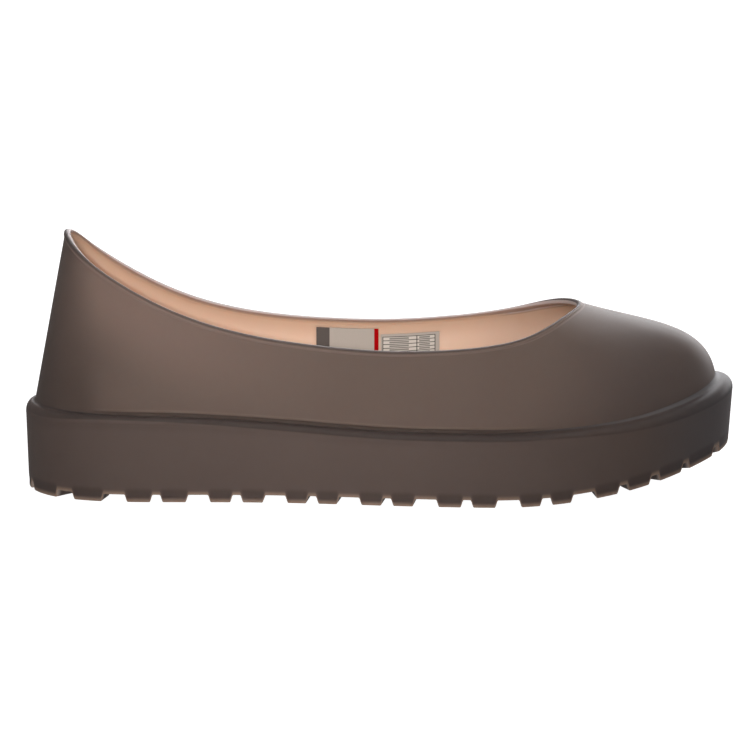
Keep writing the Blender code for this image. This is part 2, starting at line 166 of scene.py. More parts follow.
# The collar's edge and the wall that climbs to it. share is the way from heel to toe along the sole's side,
# half the half width to either side of middle, swell how far the wall's ends turn off its chord in degrees,
# outwards at the base and inwards at the top, and rise and reach those turns' lengths as shares of it.
COLLAR = (
    CollarRow("heel peak", 0.0, -128.1, 0.0, 0.0, 106.0, 0, 0, 0.33, 0.33),
    CollarRow("peak side", 0.068, -123.7, 16.8, 0.0, 101.6, 1, 1, 0.33, 0.33),
    CollarRow("heel curve", 0.122, -114.0, 22.8, -0.2, 93.8, 2, 2, 0.33, 0.33),
    CollarRow("counter", 0.205, -88.0, 25.4, -0.8, 78.9, 2, 2, 0.33, 0.33),
    CollarRow("quarter", 0.306, -53.0, 29.0, -1.4, 68.0, 2, 3, 0.33, 0.33),
    CollarRow("waist", 0.410, -16.0, 34.6, -1.5, 63.5, 3, 4, 0.33, 0.33),
    CollarRow("low point", 0.480, 8.0, 37.8, -1.2, 62.6, 3, 5, 0.33, 0.33),
    CollarRow("vamp", 0.570, 40.0, 40.2, -0.2, 64.4, 4, 8, 0.33, 0.35),
    CollarRow("throat corner", 0.700, 63.5, 35.0, 1.0, 69.4, 20, 15, 0.32, 0.38),
    CollarRow("throat side", 0.840, 75.0, 20.5, 1.6, 73.6, 38, 15, 0.35, 0.43),
    CollarRow("throat", 1.0, 81.5, 0.0, 2.0, 75.2, 54.5, 9, 0.365, 0.43),
)

LugRow = namedtuple("LugRow", "place start width count")
# Lugs of one side as distances along the sole's edge from the middle of the heel, where LUG_SIDE is the
# toe; rows of two are pairs
LUGS = (
    LugRow("heel corner", 14.2, 16.7, 1),
    LugRow("heel side", 40.3, 12.0, 1),
    LugRow("heel pair", 62.9, 9.3, 2),
    LugRow("first pair", 96.3, 7.9, 2),
    LugRow("second pair", 127.0, 7.3, 2),
    LugRow("third pair", 156.6, 7.8, 2),
    LugRow("fourth pair", 187.6, 8.8, 2),
    LugRow("fifth pair", 220.7, 7.4, 2),
    LugRow("sixth pair", 250.9, 8.5, 2),
    LugRow("toe corner", 278.1, 9.8, 1),
    LugRow("toe side", 292.4, 12.6, 1),
    LugRow("toe front", 310.6, 12.8, 1),
)
LUG_SIDE = 332.3
HEEL_LUG_WIDTH = 18.0
TOE_LUG_WIDTH = 10.4

LabelRow = namedtuple("LabelRow", "name x_from x_to drop height")
# Labels inside the medial wall: between two places along the shoe, hung that far below the collar's edge
LABELS = (
    LabelRow("label_plain", -26.3, -0.6, 4.2, 18.0),
    LabelRow("label_chart", 0.4, 24.8, 6.8, 16.0),
)
# The stretch of the medial side, from heel to toe, that holds them both
LABEL_SHARES = (0.3, 0.65)


def smooth_step(x, start, end):
    """0 before start, 1 after end, with a smooth turn at both."""
    part = np.clip((x - start) / (end - start), 0, 1)
    return part * part * (3 - 2 * part)


def soft_clip(t, soft):
    """t held between 0 and 1, with both corners rounded over soft to either side."""
    t = np.asarray(t, float)
    low = (np.clip(t, -soft, soft) + soft) ** 2 / (4 * soft)
    high = 1 - (1 + soft - np.clip(t, 1 - soft, 1 + soft)) ** 2 / (4 * soft)
    return np.where(t < soft, low, np.where(t > 1 - soft, high, t))


def closed_spline(knots, period, values, at):
    """Values at the places `at` on the smooth closed cubic that has `values` at `knots`."""
    knots = np.asarray(knots, float)
    values = np.asarray(values, float)
    count = len(knots)
    gaps = np.diff(np.append(knots, knots[0] + period))
    slopes = (np.roll(values, -1, axis=0) - values) / gaps[:, None]
    system = np.zeros((count, count))
    for i in range(count):
        system[i, i - 1] += gaps[i - 1]
        system[i, i] += 2 * (gaps[i - 1] + gaps[i])
        system[i, (i + 1) % count] += gaps[i]
    bends = np.linalg.solve(system, 6 * (slopes - np.roll(slopes, 1, axis=0)))
    at = (np.asarray(at, float) - knots[0]) % period + knots[0]
    span = np.searchsorted(knots, at, side="right") - 1
    after = (span + 1) % count
    gap = gaps[span][:, None]
    far = (at - knots[span])[:, None] / gap
    near = 1 - far
    bent = (near**3 - near) * bends[span] + (far**3 - far) * bends[after]
    return near * values[span] + far * values[after] + bent * gap**2 / 6


def both_sides(rows, lateral, medial, heel, toe):
    """Points round the shoe from rows: heel, lateral side to the toe, and back along the medial side."""
    there = [lateral(row) for row in rows]
    back = [medial(row) for row in reversed(rows)]
    return np.array([heel, *there, toe, *back], float)


def sole_outline():
    """x and y of the sole's widest outline against turns: 0 and 2 at the heel, 1 at the toe."""
    points = both_sides(
        SOLE_OUTLINE,
        lambda row: (row.x, -row.lateral),
        lambda row: (row.x, row.medial),
        HEEL_BACK,
        TOE_TIP,
    )
    steps = np.linalg.norm(np.roll(points, -1, axis=0) - points, axis=1)
    knots = np.concatenate([[0], np.cumsum(steps)[:-1]])
    period = steps.sum()
    toe_knot = knots[len(SOLE_OUTLINE) + 1]
    halves = []
    for start, end in ((0, toe_knot), (toe_knot, period)):
        places = np.linspace(start, end, OUTLINE_SAMPLES)
        line = closed_spline(knots, period, points, places)
        run = np.concatenate([[0], np.cumsum(np.linalg.norm(np.diff(line, axis=0), axis=1))])
        halves.append((run / run[-1], line))
    turns = np.concatenate([halves[0][0], 1 + halves[1][0][1:]])
    line = np.concatenate([halves[0][1], halves[1][1][1:]])
    middle = (line.min(axis=0) + line.max(axis=0)) / 2
    return turns, line - middle, middle


OUTLINE_TURNS, OUTLINE_LINE, OUTLINE_MIDDLE = sole_outline()


def outline_at(turns):
    """x and y of the outline."""
    turns = np.asarray(turns, float) % 2
    return np.stack([np.interp(turns, OUTLINE_TURNS, OUTLINE_LINE[:, k]) for k in (0, 1)], axis=-1)


def outward_at(turns):
    """Level unit vectors that point out of the outline."""
    turns = np.asarray(turns, float)
    along = outline_at(turns + OUTWARD_STEP) - outline_at(turns - OUTWARD_STEP)
    along /= np.linalg.norm(along, axis=-1, keepdims=True)
    return np.stack([along[..., 1], -along[..., 0]], axis=-1)


def inset_at(turns, depth):
    """The outline drawn in by depth, which may differ from place to place."""
    depth = np.broadcast_to(np.asarray(depth, float), np.shape(turns))
    return outline_at(turns) - outward_at(turns) * depth[..., None]


def floor_line(x):
    """Height of the tread's underside: flat under heel and ball, then the toe spring."""
    part = np.clip((np.asarray(x, float) - SPRING_START) / (LENGTH / 2 - SPRING_START), 0, None)
    return TOE_SPRING * part**2


def side_size(turns, column):
    """One of the sizes of the sole's side, which turns smoothly from row to row along the shoe."""
    x = outline_at(turns)[..., 0]
    size = np.full(np.shape(x), getattr(SOLE_SIDE[0], column))
    for before, row in zip(SOLE_SIDE, SOLE_SIDE[1:]):
        size += smooth_step(x, row.start, row.end) * (getattr(row, column) - getattr(before, column))
    return size


def rim_height(turns):
    """Height of the ledge's crest, above which the upper leaves the sole."""
    return floor_line(outline_at(turns)[..., 0]) + side_size(turns, "crest")


def overhang_at(turns):
    """How far the upper's wall stands out over the groove above the ledge; none at heel and toe."""
    x = outline_at(turns)[..., 0]
    return OVERHANG * (smooth_step(x, *OVERHANG_START) - smooth_step(x, *OVERHANG_END))


def collar_table():
    """Knots and columns of the collar rows on both sides: x, y, z, swells, rise and reach."""
    first, last = COLLAR[0], COLLAR[-1]
    sides = COLLAR[1:-1]

    def entry(row, side):
        y = side * row.half + row.middle - OUTLINE_MIDDLE[1]
        return (row.x, y, row.z, row.swell_base, row.swell_top, row.rise, row.reach)

    values = both_sides(
        sides, lambda row: entry(row, -1), lambda row: entry(row, 1), entry(first, 0), entry(last, 0)
    )
    shares = [row.share for row in COLLAR]
    knots = [*shares, *(2 - share for share in reversed(shares[1:-1]))]
    return np.array(knots), values


COLLAR_KNOTS, COLLAR_VALUES = collar_table()


def upper_outer(turns, rises):
    """Points of the upper's outer face: rises run from 0 at the crease to 1 at the collar's edge."""
    turns = np.asarray(turns, float)
    rises = np.asarray(rises, float)[:, None]
    depth = side_size(turns, "seat") + FIT_GAP - overhang_at(turns)
    base = np.column_stack([inset_at(turns, depth), rim_height(turns)])
    row = closed_spline(COLLAR_KNOTS, 2, COLLAR_VALUES, turns)
    top = row[:, :3]
    chord = top - base
    length = np.linalg.norm(chord, axis=1, keepdims=True)
    level = chord[:, :2] / np.linalg.norm(chord[:, :2], axis=1, keepdims=True)
    slope = np.arctan2(chord[:, 2], np.linalg.norm(chord[:, :2], axis=1))
    leave = slope + np.radians(row[:, 3])
    arrive = slope - np.radians(row[:, 4])
    leaving = np.column_stack([level * np.cos(leave)[:, None], np.sin(leave)])
    arriving = np.column_stack([level * np.cos(arrive)[:, None], np.sin(arrive)])
    lift = base + leaving * length * row[:, 5:6]
    draw = top - arriving * length * row[:, 6:7]
    stay = 1 - rises
    return stay**3 * base + 3 * stay**2 * rises * lift + 3 * stay * rises**2 * draw + rises**3 * top


def upper_frame(turns, rises):
    """Point, unit normal outwards and unit direction up the wall, on the upper's outer face."""
    turns = np.asarray(turns, float)
    rises = np.broadcast_to(np.asarray(rises, float), np.shape(turns))
    point = upper_outer(turns, rises)
    round_it = upper_outer(turns + FRAME_STEP, rises) - upper_outer(turns - FRAME_STEP, rises)
    up_it = upper_outer(turns, rises + FRAME_STEP) - upper_outer(turns, rises - FRAME_STEP)
    normal = np.cross(round_it, up_it)
    normal /= np.linalg.norm(normal, axis=1, keepdims=True)
    up_it /= np.linalg.norm(up_it, axis=1, keepdims=True)
    return point, normal, up_it


def wall_length(turns):
    """Length of the upper's wall from crease to collar."""
    levels = np.linspace(0, 1, 2 * UPPER_RISE_STEPS)
    line = np.array([upper_outer(turns, np.full(len(turns), level)) for level in levels])
    return np.linalg.norm(np.diff(line, axis=0), axis=2).sum(axis=0)


def add(name, data):
    """A new object in the scene."""
    obj = bpy.data.objects.new(name, data)
    bpy.context.scene.collection.objects.link(obj)
    return obj


class Skin:
    """A surface built ring by ring, with named values kept for each of its points."""

    def __init__(self, *marks):
        self.points = []
        self.marks = {mark: [] for mark in marks}
        self.faces = []
        self.total = 0

    def ring(self, points, **marks):
        """Adds a row of points with their values, and gives the number of its first point."""
        first = self.total
        self.points.append(np.asarray(points, float))
        self.total += len(points)
        for mark, kept in self.marks.items():
            kept.append(np.broadcast_to(np.asarray(marks.get(mark, 0.0), float), (len(points),)))
        return first

    def bridge(self, low, high, count):
        """Quads between two closed rings of equal length."""
        for i in range(count):
            j = (i + 1) % count
            self.faces.append((low + i, low + j, high + j, high + i))

    def fan(self, first, count, rows):
        """Closes a ring with strips, whose inner points start at the numbers in rows."""
        half = count // 2
        strips = []
        for k in range(1, half):
            inner = range(rows[k - 1], rows[k - 1] + CAP_STEPS - 1)
            strips.append([first + k, *inner, first + count - k])
        for a, b in zip(strips, strips[1:]):
            for i in range(CAP_STEPS):
                self.faces.append((a[i], a[i + 1], b[i + 1], b[i]))
        for i in range(CAP_STEPS):
            self.faces.append((first, strips[0][i], strips[0][i + 1]))
            self.faces.append((first + half, strips[-1][i], strips[-1][i + 1]))

    def build(self, name, material, sharp):
        """The finished object, in metres, with its faces turned outwards."""
        mesh = bpy.data.meshes.new(name)
        mesh.from_pydata((np.concatenate(self.points) * MM).tolist(), [], self.faces)
        shaped = bmesh.new()
        shaped.from_mesh(mesh)
        bmesh.ops.recalc_face_normals(shaped, faces=shaped.faces)
        shaped.to_mesh(mesh)
        shaped.free()
        for mark, kept in self.marks.items():
            values = mesh.attributes.new(mark, "FLOAT", "POINT")
            values.data.foreach_set("value", np.concatenate(kept).astype(np.float32))
        mesh.shade_smooth()
        mesh.set_sharp_from_angle(angle=sharp)
        mesh.materials.append(material)
        return add(name, mesh)


def bead_profile():
    """The rolled collar's section as (out of the wall, up the wall), from its outer to its inner foot."""
    half = (WALL + BEAD_OUT + BEAD_IN) / 2
    middle = BEAD_OUT - half
    shoulder = BEAD_FOOT - BEAD_DEPTH
    turns = np.linspace(0, 1, FILLET_STEPS + 1)[1:]
    swell = smooth_step(turns, 0, 1)
    profile = []
    for t, s in zip(turns, swell):
        profile.append((BEAD_OUT * s, -BEAD_DEPTH + BEAD_FOOT * t))
    for step in range(BEAD_STEPS + 1):
        angle = math.pi * step / BEAD_STEPS
        profile.append((middle + half * math.cos(angle), BEAD_CROWN * (math.sin(angle) - 1)))
    for t, s in zip(reversed(turns), reversed(swell)):
        profile.append((-WALL - BEAD_IN * s, shoulder - BEAD_FOOT * (1 - t)))
    return profile


def make_upper(material):
    """The hollow upper with its rolled collar and the step over the groove at its foot."""
    turns = np.arange(2 * UPPER_SIDE_STEPS) / UPPER_SIDE_STEPS
    count = len(turns)
    tall = wall_length(turns)
    overhang = overhang_at(turns)
    foot = rim_height(turns) - SKIRT + FIT_GAP
    seat = side_size(turns, "seat") + FIT_GAP
    skin = Skin(*UPPER_MARKS)
    rings = [skin.ring(np.column_stack([inset_at(turns, seat), foot]))]
    lip_low = GROOVE_HEIGHT - GROOVE_LIP
    climbs = [*np.linspace(0, lip_low, LIP_STEPS), *np.linspace(lip_low, GROOVE_HEIGHT, LIP_STEPS)[1:]]
    for climb in climbs:
        point, normal, _ = upper_frame(turns, climb / tall)
        sunk = overhang * (1 - smooth_step(climb, lip_low, GROOVE_HEIGHT))
        marks = {"climb": climb, "fall": tall - climb, "step": overhang / OVERHANG}
        rings.append(skin.ring(point - normal * sunk[:, None], **marks))
    start = GROOVE_HEIGHT / tall
    top_share = 1 - BEAD_DEPTH / tall
    inner = []
    for step in range(UPPER_RISE_STEPS + 1):
        share = start + (top_share - start) * step / UPPER_RISE_STEPS
        point, normal, _ = upper_frame(turns, share)
        marks = {"climb": tall * share, "fall": tall * (1 - share), "step": overhang / OVERHANG}
        if step:
            rings.append(skin.ring(point, **marks))
        inner.append((point - normal * WALL, marks))
    point, normal, upward = upper_frame(turns, np.ones(count))
    hem = HEM_SIDE + (HEM_THROAT - HEM_SIDE) * smooth_step(point[:, 0], *HEM_TURN)
    for out_by, up_by in bead_profile():
        roll = point + normal * out_by + upward * up_by
        within = smooth_step(-up_by, hem, hem + HEM_SOFT) if out_by < -WALL else 0.0
        over = (BEAD_OUT - out_by) / (WALL + BEAD_OUT + BEAD_IN)
        rings.append(skin.ring(roll, inside=within, bead=1.0, over=over, climb=tall + up_by, fall=-up_by))
    for point, marks in reversed(inner[:-1]):
        within = smooth_step(marks["fall"], hem, hem + HEM_SOFT)
        rings.append(skin.ring(point, inside=within, **marks))
    rings.append(
        skin.ring(np.column_stack([inset_at(turns, seat + WALL), foot]), inside=1.0, fall=tall + SKIRT)
    )
    for low, high in zip(rings, rings[1:] + rings[:1]):
        skin.bridge(low, high, count)
    return skin.build("upper_skin", material, UPPER_SHARP)


def all_lugs():
    """Middle and half width of every lug on the sole's edge, as distances along it."""
    spans = [(0.0, HEEL_LUG_WIDTH / 2), (LUG_SIDE, TOE_LUG_WIDTH / 2)]
    for row in LUGS:
        for k in range(row.count):
            middle = row.start + k * (row.width + LUG_GAP) + row.width / 2
            spans.append((middle, row.width / 2))
            spans.append((2 * LUG_SIDE - middle, row.width / 2))
    return np.array(spans)


def lug_share(places):
    """1 on a lug, 0 between lugs, and the sloping flanks in between."""
    share = np.zeros(len(places))
    for middle, half in all_lugs():
        away = np.abs((places - middle + LUG_SIDE) % (2 * LUG_SIDE) - LUG_SIDE)
        flank = soft_clip((half + LUG_SLOPE - away) / LUG_SLOPE, LUG_SOFT)
        share = np.maximum(share, flank)
    return share


def corner_offsets():
    """Places across a flank, from its lower edge outwards, where its softened corners are drawn."""
    ramps = (1 + LUG_SOFT, 1, 1 - LUG_SOFT, LUG_SOFT, 0, -LUG_SOFT)
    return np.array([LUG_SLOPE * (1 - ramp) for ramp in ramps])


def fill_in(marks, step):
    """Sorted marks with more places put evenly between those that are further apart than step."""
    marks = np.unique(np.round(marks, PLACE_DIGITS))
    filled = [marks[:1]]
    for a, b in zip(marks, marks[1:]):
        parts = max(1, math.ceil((b - a) / step))
        filled.append(np.linspace(a, b, parts + 1)[1:])
    return np.concatenate(filled)


def edge_places():
    """Distances along the sole's edge, once round, with the corners of every lug among them."""
    marks = [0.0, LUG_SIDE]
    for middle, half in all_lugs():
        if middle <= LUG_SIDE:
            for offset in corner_offsets():
                marks += [middle - half - offset, middle + half + offset]
    side = np.array([mark for mark in marks if 0 <= mark <= LUG_SIDE])
    side = fill_in(side, PLACE_STEP)
    return np.concatenate([side, 2 * LUG_SIDE - side[-2:0:-1]])


def bar_stations():
    """Places along the tread, with the corners of every cross bar among them."""
    marks = []
    for k in range(BAR_COUNT):
        middle = BAR_FIRST + k * BAR_PITCH
        for offset in corner_offsets():
            marks += [middle - BAR_WIDTH / 2 - offset, middle + BAR_WIDTH / 2 + offset]
    return np.array(marks)


def bar_share(x):
    """1 on a cross bar, 0 between bars."""
    share = np.zeros(len(x))
    for k in range(BAR_COUNT):
        away = np.abs(x - BAR_FIRST - k * BAR_PITCH)
        share = np.maximum(share, soft_clip((BAR_WIDTH / 2 + LUG_SLOPE - away) / LUG_SLOPE, LUG_SOFT))
    return share


def lifted(flat, rise):
    """Points of the tread at a rise above the floor line under each of them."""
    return np.column_stack([flat, floor_line(flat[:, 0]) + rise])


def make_sole(material):
    """The sole's tray with its ledge and softened lugs and bars, as one closed skin."""
    places = edge_places()
    count = len(places)
    turns = places / LUG_SIDE
    lug = lug_share(places)
    columns = ("tall", "wide", "seat", "draft")
    ledge_tall, wide, seat, draft = (side_size(turns, column) for column in columns)
    groove = overhang_at(turns) / OVERHANG
    rim = rim_height(turns)
    ground = floor_line(outline_at(turns)[:, 0])
    tall = rim - ledge_tall - ground
    bottom = LUG_DEPTH * (1 - lug)
    skin = Skin(*SOLE_MARKS)
    rings = []

    def tread_ring(depth):
        gone = soft_clip((LUG_REACH + LUG_INSET + LUG_SLOPE - depth) / LUG_SLOPE, LUG_SOFT)
        rise = LUG_DEPTH * (1 - lug * gone)
        flat = inset_at(turns, draft + LUG_INSET * lug + depth)
        rings.append(skin.ring(lifted(flat, rise), rise=rise, below=tall, lug=lug, deep=depth))

    def wall_ring(rise, sink=0.0):
        below = tall - rise
        up = np.clip((rise - LUG_DEPTH) / (tall - LUG_DEPTH), 0, 1)
        low = LUG_INSET * lug * (1 - smooth_step(rise, *INSET_FADE))
        proud = LINE_PROUD * (LINE_ENDS + (1 - LINE_ENDS) * groove)
        line = proud * np.clip(1 - (2 * below / LINE_HEIGHT - 1) ** 2, 0, 1)
        flat = inset_at(turns, draft * (1 - up) + low + sink - line)
        rings.append(skin.ring(lifted(flat, rise), rise=rise, below=below, lug=lug))

    reach = LUG_REACH + LUG_INSET
    tread_depths = [*(reach + corner_offsets()), 2 * EDGE_SOFT, EDGE_SOFT]
    tread_depths += list(np.linspace(EDGE_SOFT, reach, REACH_STEPS + 1)[1:-1])
    last_depth = reach + LUG_SLOPE * (1 + LUG_SOFT) + TREAD_MARGIN
    for depth in sorted([last_depth, *tread_depths], reverse=True):
        tread_ring(depth)
    for angle in EDGE_TURNS:
        wall_ring(bottom + EDGE_SOFT * (1 - math.cos(angle)), EDGE_SOFT * (1 - math.sin(angle)))
    stretch = (tall - bottom) / tall
    for rise in LOW_RISES:
        wall_ring(bottom + rise * stretch)
    top_line = tall - LINE_HEIGHT
    low_line = bottom + LOW_RISES[-1] * stretch
    for step in range(1, WALL_STEPS + 1):
        wall_ring(low_line + (top_line - low_line) * step / WALL_STEPS)
    for step in range(1, LINE_STEPS + 1):
        wall_ring(top_line + LINE_HEIGHT * step / LINE_STEPS)
    for step in range(1, LEDGE_STEPS + 1):
        angle = math.pi / 2 * step / LEDGE_STEPS
        up = ledge_tall * math.sin(angle)
        points = np.column_stack([inset_at(turns, wide * (1 - math.cos(angle))), rim - ledge_tall + up])
        rings.append(skin.ring(points, rise=tall + up, below=-up))
    seam = seat + FIT_GAP - SEAM_GAP * groove + COVE_SINK * (1 - groove)
    for step in range(1, COVE_STEPS + 1):
        angle = math.pi / 2 * step / COVE_STEPS
        up = COVE_RISE * (1 - groove) * (1 - math.cos(angle))
        points = np.column_stack([inset_at(turns, wide + (seam - wide) * math.sin(angle)), rim + up])
        rings.append(skin.ring(points, rise=tall + ledge_tall, below=-ledge_tall, cove=step / COVE_STEPS))
    cavity = seat + FIT_GAP + WALL
    floor = ground + FLOOR_HEIGHT

    def inner_ring(depth, height):
        points = np.column_stack([inset_at(turns, depth), height])
        rings.append(skin.ring(points, inside=1.0, rise=height - ground, below=tall, deep=LENGTH))

    inner_ring(seam, rim - SKIRT)
    inner_ring(cavity, rim - SKIRT)
    for step in range(FILLET_STEPS + 1):
        angle = math.pi / 2 * step / FILLET_STEPS
        depth = cavity + FLOOR_FILLET * (1 - math.cos(angle))
        inner_ring(depth, floor + FLOOR_FILLET * (1 - math.sin(angle)))
    for low, high in zip(rings, rings[1:]):
        skin.bridge(low, high, count)
    edge = np.column_stack([inset_at(turns, cavity + FLOOR_FILLET), floor])
    rows = []
    for k in range(1, count // 2):
        shares = np.arange(1, CAP_STEPS)[:, None] / CAP_STEPS
        across = edge[k] + (edge[count - k] - edge[k]) * shares
        across[:, 2] = floor_line(across[:, 0]) + FLOOR_HEIGHT
        rows.append(skin.ring(across, inside=1.0, rise=FLOOR_HEIGHT, below=LENGTH, deep=LENGTH))
    skin.fan(rings[-1], count, rows)
    make_middle(skin, rings[0], turns)
    return skin.build("sole_skin", material, SOLE_SHARP)


def make_middle(skin, first, turns):
    """The middle of the tread with its cross bars, joined to the ring that starts at point `first`."""
    fine = np.linspace(0, 1, OUTLINE_SAMPLES)
    sides = [inset_at(fine, MIDDLE_INSET), inset_at(2 - fine, MIDDLE_INSET)]
    heel, toe = sides[0][0], sides[0][-1]
    stations = np.concatenate([[heel[0] + MIDDLE_MARGIN, toe[0] - MIDDLE_MARGIN], bar_stations()])
    stations = fill_in(stations, PLACE_STEP)
    low_bar = BAR_FIRST - BAR_WIDTH
    high_bar = BAR_FIRST + (BAR_COUNT - 1) * BAR_PITCH + BAR_WIDTH
    grid = []
    ends = np.clip(stations, low_bar, high_bar)
    borders = [np.interp(stations, side[:, 0], side[:, 1]) for side in sides]
    bar_borders = [np.interp(ends, side[:, 0], side[:, 1]) for side in sides]
    outlines = [np.interp(ends, *outline_at(t).T) for t in (fine, 2 - fine)]
    bar = bar_share(stations)
    begin = [outlines[0] + BAR_CLEARANCE + LUG_DRAFT, outlines[1] - BAR_CLEARANCE - LUG_DRAFT]
    columns = []
    for offset in reversed(corner_offsets()):
        columns.append(begin[0] - offset)
    for share in BAR_SHARES:
        columns.append(begin[0] + (begin[1] - begin[0]) * share)
    for offset in corner_offsets():
        columns.append(begin[1] + offset)
    columns = np.array(columns)
    shares = (columns - bar_borders[0]) / (bar_borders[1] - bar_borders[0])
    across = borders[0] + (borders[1] - borders[0]) * shares
    reach = np.minimum(columns - begin[0], begin[1] - columns)
    tall = soft_clip((reach + LUG_SLOPE) / LUG_SLOPE, LUG_SOFT) * bar
    table = np.vstack([borders[0], across, borders[1]])
    lug = np.vstack([np.zeros(len(stations)), tall, np.zeros(len(stations))])
    for y, share in zip(table, lug):
        rise = LUG_DEPTH * (1 - share)
        flat = np.column_stack([stations, y])
        grid.append(skin.ring(lifted(flat, rise), rise=rise, below=LENGTH, lug=share, deep=LENGTH))
    tips = []
    for tip in (heel, toe):
        tips.append(skin.ring(lifted(tip[None, :], LUG_DEPTH), rise=LUG_DEPTH, below=LENGTH, deep=LENGTH))
    last = len(stations) - 1
    for a, b in zip(grid, grid[1:]):
        for i in range(last):
            skin.faces.append((a + i, a + i + 1, b + i + 1, b + i))
        skin.faces.append((tips[0], a, b))
        skin.faces.append((tips[1], a + last, b + last))
    places = [np.interp(stations, side[:, 0], fine) for side in sides]
    loop = [tips[0], *range(grid[0], grid[0] + last + 1), tips[1]]
    loop += [*range(grid[-1] + last, grid[-1] - 1, -1)]
    loop_turns = np.concatenate([[0], places[0], [1], 2 - places[1][::-1]])
    zip_rings(skin, [first + k for k in range(len(turns))], turns, loop, loop_turns)


def zip_rings(skin, outer, outer_turns, inner, inner_turns):
    """Triangles between two closed rings whose points lie at different turns."""
    i = j = 0
    while i < len(outer) or j < len(inner):
        next_outer = outer_turns[i + 1] if i + 1 < len(outer) else 2 + (i >= len(outer))
        next_inner = inner_turns[j + 1] if j + 1 < len(inner) else 2 + (j >= len(inner))
        a, b = outer[i % len(outer)], inner[j % len(inner)]
        if next_outer <= next_inner:
            i += 1
            skin.faces.append((a, outer[i % len(outer)], b))
        else:
            j += 1
            skin.faces.append((a, inner[j % len(inner)], b))


def label_line(row, drop, depth):
    """One level line of a label, drop down the wall from the collar and depth behind its outer face."""
    turns = 2 - np.linspace(*LABEL_SHARES, LABEL_SAMPLES)
    rises = 1 - drop / wall_length(turns)
    along = upper_outer(turns, rises)[:, 0]
    places = np.linspace(row.x_from, row.x_to, LABEL_STEPS + 1)
    point, normal, _ = upper_frame(np.interp(places, along, turns), np.interp(places, along, rises))
    return point - normal * depth


def make_label(row, material):
    """A thin sheet on the inner wall, with its own measures across and down kept for its paints."""
    side = LABEL_STEPS + 1
    skin = Skin(*LABEL_MARKS)
    for depth in (WALL + FIT_GAP, WALL + FIT_GAP + LABEL_THICKNESS):
        for step in range(side):
            down = row.height * step / LABEL_STEPS
            line = label_line(row, row.drop + down, depth)
            skin.ring(line, across=np.linspace(0, row.x_to - row.x_from, side), down=down)
    for sheet in (0, side * side):
        for i in range(LABEL_STEPS):
            for j in range(LABEL_STEPS):
                a = sheet + i * side + j
                skin.faces.append((a, a + 1, a + side + 1, a + side))
    rim = [*range(side), *(k * side - 1 for k in range(2, side + 1))]
    rim += [*range(side * side - 2, side * (side - 1) - 1, -1), *range(side * (side - 2), 0, -side)]
    for a, b in zip(rim, rim[1:] + rim[:1]):
        skin.faces.append((a, b, b + side * side, a + side * side))
    return skin.build(row.name + "_sheet", material, LABEL_SHARP)


# Materials

Ramp = namedtuple("Ramp", "value start end low high")
Band = namedtuple("Band", "value middle half soft share")
Paint = namedtuple("Paint", "place tone factors")
# A paint is as strong as the product of its factors: ramps and bands over a named value, named values and
# plain shares. Tones are display values of 0 to 255. The value along is in metres. Of the skins' marks,
# inside, bead, over, step, lug and cove run from 0 to 1, and the others are in millimetres.
UPPER_TONES = ((114, 98, 90), (120, 104, 96))
UPPER_PAINTS = (
    # Painted highlight: a light line along the lower edge of the step over the groove
    Paint("lip over the groove", (140, 124, 114), (Band("climb", 2.2, 0.3, 0.6, 0.3), "step")),
    # Painted shade: the groove under the step darkened
    Paint("groove", (72, 63, 59), (Ramp("climb", 1.5, 2.0, 0.7, 0.0), "step")),
    # Painted shade: the upper darker towards the toe, where the light falls off
    Paint("toe", (104, 92, 88), (Ramp("along", 0.06, 0.115, 0.0, 0.8),)),
    # Painted shade: the upper darker towards the heel, where the light falls off
    Paint("heel", (94, 80, 75), (Ramp("along", -0.145, -0.09, 0.8, 0.0),)),
    # Painted shade: the lower part of the heel darker still
    Paint(
        "foot of the heel",
        (84, 72, 67),
        (Ramp("along", -0.122, -0.11, 0.6, 0.0), Ramp("fall", 20.0, 55.0, 0.0, 1.0)),
    ),
    # Painted light: the heel counter lighter at mid height
    Paint(
        "counter",
        (144, 122, 112),
        (
            Ramp("along", -0.128, -0.112, 0.0, 1.0),
            Ramp("along", -0.115, -0.01, 1.0, 0.0),
            Ramp("fall", 8.0, 36.0, 0.7, 0.0),
        ),
    ),
    # Painted light: a lighter band just under the bead, lifting the shade of its foot
    Paint("under the bead", (150, 131, 122), (Band("fall", 2.0, 0.35, 0.35, 0.45),)),
    Paint(
        "bead",
        (72, 66, 66),
        ("bead", Ramp("fall", 0.8, 1.4, 0.7, 0.0), Ramp("over", 0.45, 0.6, 1.0, 0.0)),
    ),
    Paint("hem", (158, 130, 116), (Ramp("over", 0.8, 0.95, 0.0, 0.6),)),
    # Painted highlight: a light line along the crown of the bead
    Paint("burnished crown", (206, 192, 190), (Band("over", 0.68, 0.14, 0.18, 0.7),)),
    Paint("specks", (168, 158, 150), ("specks", 0.3)),
)
# Inside the upper: a pale colour painted to stand in for light glowing through the thin wall, beside the
# real glow of the subsurface scattering, and darker just under the collar's edge as painted shade
INSIDE_GLOW_TONES = ((201, 171, 147), (226, 203, 184))
INSIDE_GLOW_RAMP = Ramp("fall", 1.0, 13.0, 0.0, 1.0)
INSIDE_GLOW_PAINTS = (
    Paint("mottle", (209, 182, 160), ("mottle", 0.25)),
    # Painted shade: the inside darker towards the toe
    Paint("toe", (164, 138, 118), (Ramp("along", 0.02, 0.075, 0.0, 0.37),)),
)

SOLE_TONES = ((103, 89, 84), (109, 95, 89))
# The tray inside painted pale, standing in for light glowing through the rubber
TRAY_GLOW_TONES = ((210, 184, 166), (216, 190, 172))
LEDGE_SHIFT = Ramp("along", -0.12, -0.04, 1.2, 0.0)
